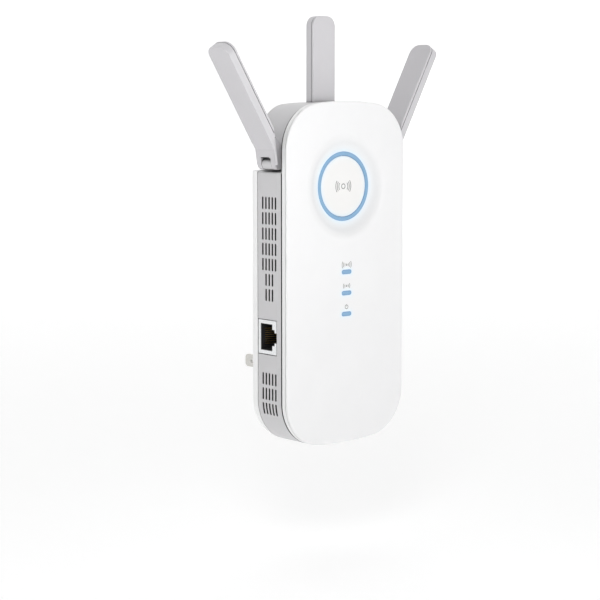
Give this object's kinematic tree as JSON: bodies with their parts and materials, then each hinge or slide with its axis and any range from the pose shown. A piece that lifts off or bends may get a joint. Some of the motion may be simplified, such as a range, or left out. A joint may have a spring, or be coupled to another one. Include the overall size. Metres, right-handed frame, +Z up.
{
  "type": "wifi range extender",
  "caption": "Plug-in wifi range extender: rounded white body with a silver frame, ring-lit button, network jack, folding antennas and flat plug blades.",
  "frame": {"origin": "centre of the flat plug face, midway between the two plug blades, on the plane that meets the wall outlet", "axes": "+Y out of the plug face towards the wall, +Z up along the body, +X to the right as seen from the front"},
  "size_m": [0.1377, 0.0665, 0.203],
  "materials": {
    "white_cover": "satin white",
    "white_back": "fine-textured white",
    "white_button": "satin white",
    "silver_frame": "silver-grey paint look, satin",
    "silver_antenna": "silver-grey paint look, satin",
    "silver_hinge": "silver-grey, satin",
    "blue_light": "frosted blue light guide",
    "black_plastic": "matte black",
    "switch_metal": "plated",
    "led_lens": "clear resin",
    "jack_metal": "nickel-plated sheet",
    "gold_contact": "gold-plated",
    "chip_black": "moulded epoxy",
    "circuit_board": "green solder mask",
    "supply_board": "tan laminate",
    "thermal_pad": "soft grey-blue",
    "heat_sink": "extruded",
    "cable_sleeve": "fluoropolymer jacket",
    "insulating_film": "film",
    "transformer_core": "yellow tape over ferrite",
    "capacitor_can": "sleeved can",
    "choke_core": "coated ferrite",
    "fuse_body": "brown",
    "wire_red": "PVC insulation",
    "wire_white": "PVC insulation",
    "blade_brass": "nickel-plated brass",
    "screw_steel": "zinc-plated"
  },
  "bodies": {
    "body": {"blade_carrier": "black_plastic", "board_screws": "screw_steel", "bridge_rectifier": "chip_black", "capacitors": "capacitor_can", "case_screws": "screw_steel", "centre_antenna_cable": "cable_sleeve", "centre_hinge_block": "silver_hinge", "extender_switch": "switch_metal", "filter_choke": "choke_core", "front_cover": "white_cover", "fuse": "fuse_body", "heat_sink": "heat_sink", "insulating_sheet": "insulating_film", "jack_magnetics": "chip_black", "led_switch": "switch_metal", "left_antenna_cable": "cable_sleeve", "left_hinge_block": "silver_hinge", "main_board": "circuit_board", "mains_wires": "wire_white", "memory_chips": "chip_black", "middle_frame": "silver_frame", "network_jack_contacts": "gold_contact", "network_jack_insert": "black_plastic", "network_jack_shell": "jack_metal", "plug_blades": "blade_brass", "power_switch": "switch_metal", "power_wires": "wire_red", "psu_board": "supply_board", "radio_connectors": "gold_contact", "radio_shields": "jack_metal", "rear_cover": "white_back", "reset_switch": "switch_metal", "right_antenna_cable": "cable_sleeve", "right_hinge_block": "silver_hinge", "ring_leds": "led_lens", "ring_light_guide": "blue_light", "status_leds": "led_lens", "status_light_pipe": "blue_light", "thermal_pad": "thermal_pad", "transformer": "transformer_core", "wifi_processor": "chip_black"},
    "left_antenna": {"left_antenna_outer_shell": "silver_antenna", "left_antenna_inner_shell": "silver_antenna", "left_antenna_element": "circuit_board", "left_hinge_pin": "screw_steel"},
    "right_antenna": {"right_antenna_outer_shell": "silver_antenna", "right_antenna_inner_shell": "silver_antenna", "right_antenna_element": "circuit_board", "right_hinge_pin": "screw_steel"},
    "centre_antenna": {"centre_antenna_outer_shell": "silver_antenna", "centre_antenna_inner_shell": "silver_antenna", "centre_antenna_element": "circuit_board", "centre_hinge_pin": "screw_steel"},
    "extender_button": {"extender_button": "white_button", "extender_plunger": "black_plastic"},
    "power_button": {"power_button": "white_button", "power_plunger": "black_plastic"},
    "led_button": {"led_button": "white_button", "led_plunger": "black_plastic"}
  },
  "joints": [
    {"name": "left_antenna_fold", "type": "hinge", "parent": "body", "child": "left_antenna", "pos_m": [-0.0377, -0.0373, 0.1011], "axis": [0, -1, 0], "range_deg": [-32.3, 81.2]},
    {"name": "right_antenna_fold", "type": "hinge", "parent": "body", "child": "right_antenna", "pos_m": [0.0377, -0.0373, 0.1011], "axis": [0, 1, 0], "range_deg": [-29.2, 84.3]},
    {"name": "centre_antenna_fold", "type": "hinge", "parent": "body", "child": "centre_antenna", "pos_m": [0, -0.0275, 0.108], "axis": [-1, 0, 0], "range_deg": [0, 113.5]},
    {"name": "extender_button_press", "type": "slide", "parent": "body", "child": "extender_button", "axis": [0, 1, 0], "range_m": [0, 0.0004], "stiffness_N_per_m": 900, "springref_m": -0.0006},
    {"name": "power_button_press", "type": "slide", "parent": "body", "child": "power_button", "axis": [-1, 0, 0], "range_m": [0, 0.0005], "stiffness_N_per_m": 700, "springref_m": -0.0006},
    {"name": "led_button_press", "type": "slide", "parent": "body", "child": "led_button", "axis": [-1, 0, 0], "range_m": [0, 0.0005], "stiffness_N_per_m": 700, "springref_m": -0.0006}
  ]
}
